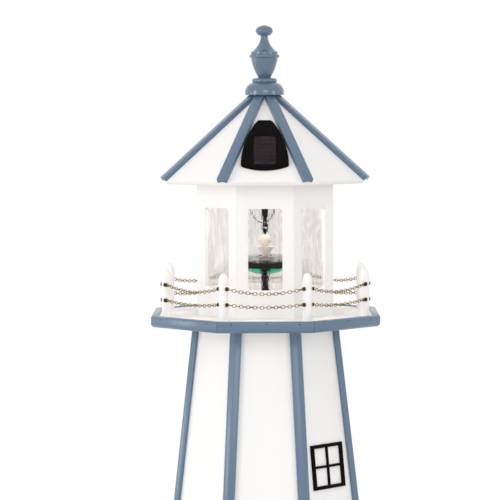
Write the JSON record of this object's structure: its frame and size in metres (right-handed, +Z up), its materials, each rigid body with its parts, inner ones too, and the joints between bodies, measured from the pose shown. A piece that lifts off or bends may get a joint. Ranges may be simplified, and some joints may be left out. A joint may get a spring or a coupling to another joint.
{
  "type": "solar lighthouse light",
  "caption": "Garden light shaped as an eight-sided lighthouse: tapered tower, railed deck, glazed lantern with a revolving beacon, and a lift-off roof with a solar unit.",
  "frame": {"origin": "centre of the foot, on the surface that the tower stands on", "axes": "+Z up along the tower's axis, the solar unit and front window face -Y, +X to the right"},
  "size_m": [0.464, 0.464, 1.2454],
  "materials": {
    "white_board": "white satin paint",
    "blue_trim": "slate-blue satin paint",
    "black_plastic": "satin",
    "rippled_glass": "rippled clear",
    "clear_cover": "clear gloss",
    "clear_lens": "clear gloss",
    "teal_lens": "tinted gloss",
    "solar_cell": "dark gloss",
    "lamp_cream": "pearl",
    "lamp_white": "satin",
    "chain_brass": "polished",
    "dark_metal": "antique bronze",
    "battery": "plain sleeve",
    "circuit": "satin",
    "steel": "brushed",
    "wire_sheath": "satin"
  },
  "bodies": {
    "tower": {"tower_panel_1": "white_board", "tower_panel_2": "white_board", "tower_panel_3": "white_board", "tower_panel_4": "white_board", "tower_panel_5": "white_board", "tower_panel_6": "white_board", "tower_panel_7": "white_board", "tower_panel_8": "white_board", "corner_trim_1": "blue_trim", "corner_trim_2": "blue_trim", "corner_trim_3": "blue_trim", "corner_trim_4": "blue_trim", "corner_trim_5": "blue_trim", "corner_trim_6": "blue_trim", "corner_trim_7": "blue_trim", "corner_trim_8": "blue_trim", "base_skirt": "blue_trim", "tower_window": "black_plastic", "deck_board": "white_board", "deck_rim": "blue_trim", "railing_posts": "white_board", "chain_screws": "dark_metal", "upper_chain": "chain_brass", "lower_chain": "chain_brass", "lantern_walls": "white_board", "lantern_panes": "rippled_glass", "beacon_stand": "black_plastic", "gear_motor": "steel"},
    "roof": {"roof_panel_1": "white_board", "roof_panel_2": "white_board", "roof_panel_3": "white_board", "roof_panel_4": "white_board", "roof_panel_5": "white_board", "roof_panel_6": "white_board", "roof_panel_7": "white_board", "roof_panel_8": "white_board", "roof_rib_1": "blue_trim", "roof_rib_2": "blue_trim", "roof_rib_3": "blue_trim", "roof_rib_4": "blue_trim", "roof_rib_5": "blue_trim", "roof_rib_6": "blue_trim", "roof_rib_7": "blue_trim", "roof_rib_8": "blue_trim", "roof_plate": "white_board", "roof_cleats": "white_board", "finial": "blue_trim", "solar_case": "black_plastic", "solar_cells": "solar_cell", "solar_cover": "clear_cover", "battery_pack": "battery", "circuit_board": "circuit", "lamp_hanger": "black_plastic", "lamp_bulb": "lamp_cream", "lamp_cone": "lamp_white", "lamp_wire": "wire_sheath"},
    "rotor": {"rotor_hub": "black_plastic", "rotor_shaft": "steel", "green_lens": "teal_lens", "clear_lens": "clear_lens"}
  },
  "joints": [
    {"name": "roof_lift", "type": "slide", "parent": "tower", "child": "roof", "axis": [0, 0, 1], "range_m": [0, 0.25]},
    {"name": "beacon_turn", "type": "hinge", "parent": "tower", "child": "rotor", "pos_m": [0, 0, 0.7385], "axis": [0, 0, 1], "continuous": true}
  ]
}
